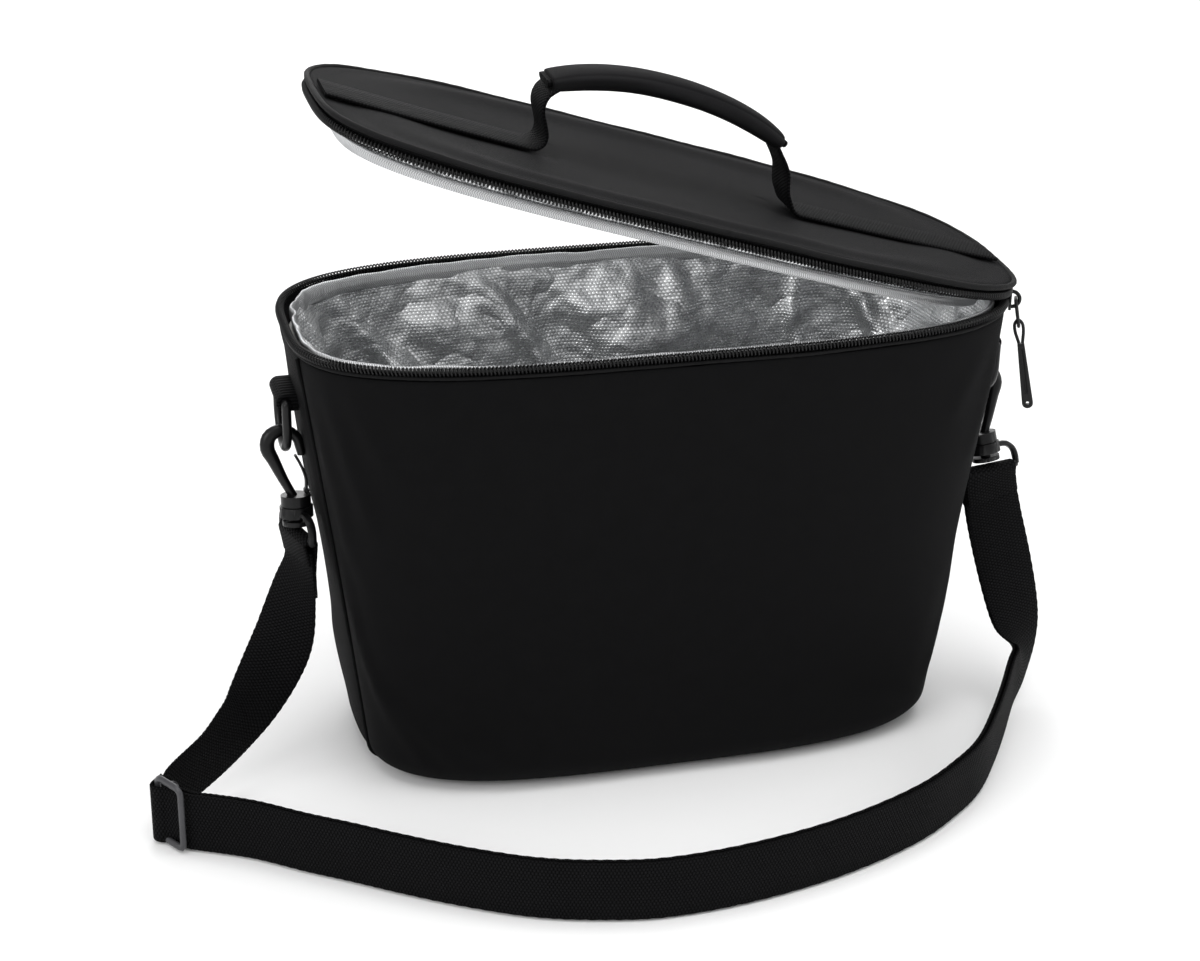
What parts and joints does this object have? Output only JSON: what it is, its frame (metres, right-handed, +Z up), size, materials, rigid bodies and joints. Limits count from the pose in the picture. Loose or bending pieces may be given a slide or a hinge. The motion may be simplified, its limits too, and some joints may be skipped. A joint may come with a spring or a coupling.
{
  "type": "insulated cooler bag",
  "caption": "Tapered insulated cooler bag with a zipped hinged lid, grab handle and detachable shoulder strap on swivel snap hooks.",
  "frame": {"origin": "centre of the base, on the face that it stands on", "axes": "+Z up, +X along the bag to the hinged end of the lid, -Y the front"},
  "size_m": [0.4647, 0.2685, 0.34],
  "materials": {
    "body_fabric": "matt woven polyester",
    "lid_fabric": "matt woven polyester, padded",
    "piping": "folded fabric welt",
    "zip_tape": "woven zip tape",
    "zip_coil": "nylon coil, satin",
    "foam": "closed-cell insulating foam",
    "board": "stiffening board",
    "foil_lining": "embossed silver foil",
    "foil_hem": "folded foil binding",
    "webbing": "ribbed woven webbing",
    "cord": "braided cord",
    "grey_moulding": "grey satin moulding",
    "zip_metal": "black enamelled",
    "black_moulding": "satin black moulding"
  },
  "bodies": {
    "root": {"front_panel": "body_fabric", "back_panel": "body_fabric", "left_end_panel": "body_fabric", "right_end_panel": "body_fabric", "base_panel": "body_fabric", "seam_welts": "body_fabric", "body_piping": "piping", "body_zip_tape": "zip_tape", "body_zip_coil": "zip_coil", "wall_foam": "foam", "base_board": "board", "base_foam": "foam", "wall_lining": "foil_lining", "base_lining": "foil_lining", "lining_hem": "foil_hem", "hinge_strip": "piping", "zip_end_tab": "piping", "zip_slider": "zip_metal", "left_tab": "webbing", "right_tab": "webbing", "left_swivel_base": "black_moulding", "right_swivel_base": "black_moulding", "strap_main": "webbing", "strap_return": "webbing", "tri_glide": "grey_moulding"},
    "lid": {"lid_top_panel": "lid_fabric", "lid_piping": "piping", "lid_zip_tape": "zip_tape", "lid_zip_coil": "zip_coil", "lid_foam": "foam", "lid_lining": "foil_lining", "lid_binding": "foil_hem", "handle_anchor_left": "webbing", "handle_anchor_right": "webbing"},
    "handle": {"handle_leg_left": "webbing", "handle_leg_right": "webbing", "handle_core": "webbing", "handle_grip": "lid_fabric"},
    "zip_ring": {"pull_ring": "zip_metal"},
    "zip_puller": {"pull_cord": "cord", "pull_grip": "black_moulding"},
    "left_ring": {"left_ring": "black_moulding"},
    "right_ring": {"right_ring": "black_moulding"},
    "left_hook": {"left_hook": "black_moulding"},
    "right_hook": {"right_hook": "black_moulding"},
    "left_gate": {"left_gate": "black_moulding"},
    "right_gate": {"right_gate": "black_moulding"}
  },
  "joints": [
    {"name": "lid_hinge", "type": "hinge", "parent": "root", "child": "lid", "pos_m": [0.178, 0, 0.2245], "axis": [0, 1, 0], "range_deg": [-17.2, 88]},
    {"name": "handle_tilt", "type": "hinge", "parent": "lid", "child": "handle", "pos_m": [0.01065, 0, 0.28584], "axis": [0.9553, 0, -0.2957], "range_deg": [-30, 30]},
    {"name": "pull_ring_swing", "type": "hinge", "parent": "root", "child": "zip_ring", "pos_m": [0.17423, -0.03896, 0.2242], "axis": [0.3923, 0.9198, 0], "range_deg": [-80, 6]},
    {"name": "pull_grip_swing", "type": "hinge", "parent": "zip_ring", "child": "zip_puller", "pos_m": [0.17655, -0.03995, 0.21124], "axis": [0.3923, 0.9198, 0], "range_deg": [-35, 12]},
    {"name": "left_ring_swing", "type": "hinge", "parent": "root", "child": "left_ring", "pos_m": [-0.1772, 0, 0.1905], "axis": [0, 1, 0], "range_deg": [-4, 4]},
    {"name": "right_ring_swing", "type": "hinge", "parent": "root", "child": "right_ring", "pos_m": [0.1772, 0, 0.1905], "axis": [0, 1, 0], "range_deg": [-4, 4]},
    {"name": "left_hook_swivel", "type": "hinge", "parent": "root", "child": "left_hook", "pos_m": [-0.1732, -0.0053, 0.13446], "axis": [0, 0.1736, 0.9848], "range_deg": [-15, 15]},
    {"name": "right_hook_swivel", "type": "hinge", "parent": "root", "child": "right_hook", "pos_m": [0.17784, -0.00841, 0.13492], "axis": [-0.1504, 0.2756, 0.9494], "range_deg": [-15, 15]},
    {"name": "left_gate_hinge", "type": "hinge", "parent": "left_hook", "child": "left_gate", "pos_m": [-0.1679, -0.00406, 0.14145], "axis": [0, 0.9848, -0.1736], "range_deg": [-18, 0], "stiffness_Nm_per_rad": 0.05},
    {"name": "right_gate_hinge", "type": "hinge", "parent": "right_hook", "child": "right_gate", "pos_m": [0.17154, -0.00645, 0.14083], "axis": [0.0431, 0.9613, -0.2722], "range_deg": [0, 18], "stiffness_Nm_per_rad": 0.05}
  ]
}
